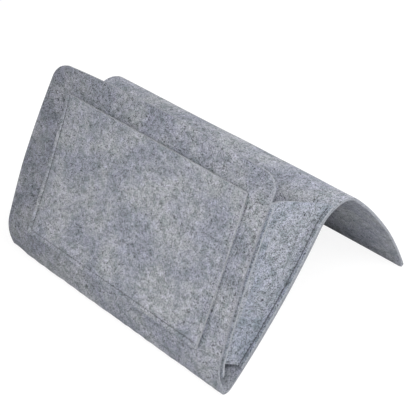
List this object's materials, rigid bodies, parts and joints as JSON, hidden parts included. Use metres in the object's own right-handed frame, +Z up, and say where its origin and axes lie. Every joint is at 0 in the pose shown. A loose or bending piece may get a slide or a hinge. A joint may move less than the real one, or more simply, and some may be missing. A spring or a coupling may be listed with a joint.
{
  "type": "hanging felt storage organizer",
  "caption": "Felt caddy with a large gusseted pocket, a flat pocket sewn on its front, and a flap that holds it over a sofa arm or under a mattress.",
  "frame": {"origin": "on the floor, at the middle of the space that the caddy covers when it stands as a tent", "axes": "+X along the ridge to the right-hand end, -Y towards the pocket side, +Y towards the flap side, +Z up"},
  "size_m": [0.35, 0.2795, 0.209],
  "materials": {
    "strip_felt": "matt heather wool felt",
    "pocket_felt": "matt heather wool felt",
    "gusset_felt": "matt heather wool felt",
    "grey_thread": "spun sewing thread"
  },
  "bodies": {
    "back": {"back_panel": "strip_felt", "right_gusset_back_flange": "gusset_felt", "left_gusset_back_flange": "gusset_felt", "right_back_seam_needle_thread": "grey_thread", "right_back_seam_bobbin_thread": "grey_thread", "left_back_seam_needle_thread": "grey_thread", "left_back_seam_bobbin_thread": "grey_thread"},
    "front": {"front_panel": "strip_felt", "small_pocket": "pocket_felt", "small_pocket_seam_needle_thread": "grey_thread", "small_pocket_seam_bobbin_thread": "grey_thread", "right_gusset_front_flange": "gusset_felt", "left_gusset_front_flange": "gusset_felt", "right_front_seam_needle_thread": "grey_thread", "right_front_seam_bobbin_thread": "grey_thread", "left_front_seam_needle_thread": "grey_thread", "left_front_seam_bobbin_thread": "grey_thread"},
    "flap": {"flap": "strip_felt"},
    "right_front_leaf": {"right_gusset_front_leaf": "gusset_felt"},
    "right_back_leaf": {"right_gusset_back_leaf": "gusset_felt"},
    "left_front_leaf": {"left_gusset_front_leaf": "gusset_felt"},
    "left_back_leaf": {"left_gusset_back_leaf": "gusset_felt"}
  },
  "joints": [
    {"name": "pocket_fold", "type": "hinge", "parent": "back", "child": "front", "pos_m": [0, -0.1292, 0.0015], "axis": [-1, 0, 0], "range_deg": [0, 14.5]},
    {"name": "ridge_fold", "type": "hinge", "parent": "back", "child": "flap", "pos_m": [0, 0.01124, 0.15944], "axis": [1, 0, 0], "range_deg": [-76, 94]},
    {"name": "right_front_leaf_fold", "type": "hinge", "parent": "front", "child": "right_front_leaf", "pos_m": [0.1501, -0.13265, 0.03168], "axis": [-0.041, 0.4143, 0.9092], "range_deg": [0, 63.1]},
    {"name": "right_back_leaf_fold", "type": "hinge", "parent": "back", "child": "right_back_leaf", "pos_m": [0.15286, -0.10973, 0.02721], "axis": [-0.0614, -0.6213, -0.7811], "range_deg": [0, 51.1]},
    {"name": "left_front_leaf_fold", "type": "hinge", "parent": "front", "child": "left_front_leaf", "pos_m": [-0.1501, -0.13265, 0.03168], "axis": [-0.041, -0.4143, -0.9092], "range_deg": [0, 63.1]},
    {"name": "left_back_leaf_fold", "type": "hinge", "parent": "back", "child": "left_back_leaf", "pos_m": [-0.15286, -0.10973, 0.02721], "axis": [-0.0614, 0.6213, 0.7811], "range_deg": [0, 51.1]}
  ],
  "couplings": [
    {"joint": "right_front_leaf_fold", "follows": "pocket_fold", "ratio": 4.3448},
    {"joint": "right_back_leaf_fold", "follows": "pocket_fold", "ratio": 3.5172},
    {"joint": "left_front_leaf_fold", "follows": "pocket_fold", "ratio": 4.3448},
    {"joint": "left_back_leaf_fold", "follows": "pocket_fold", "ratio": 3.5172}
  ]
}
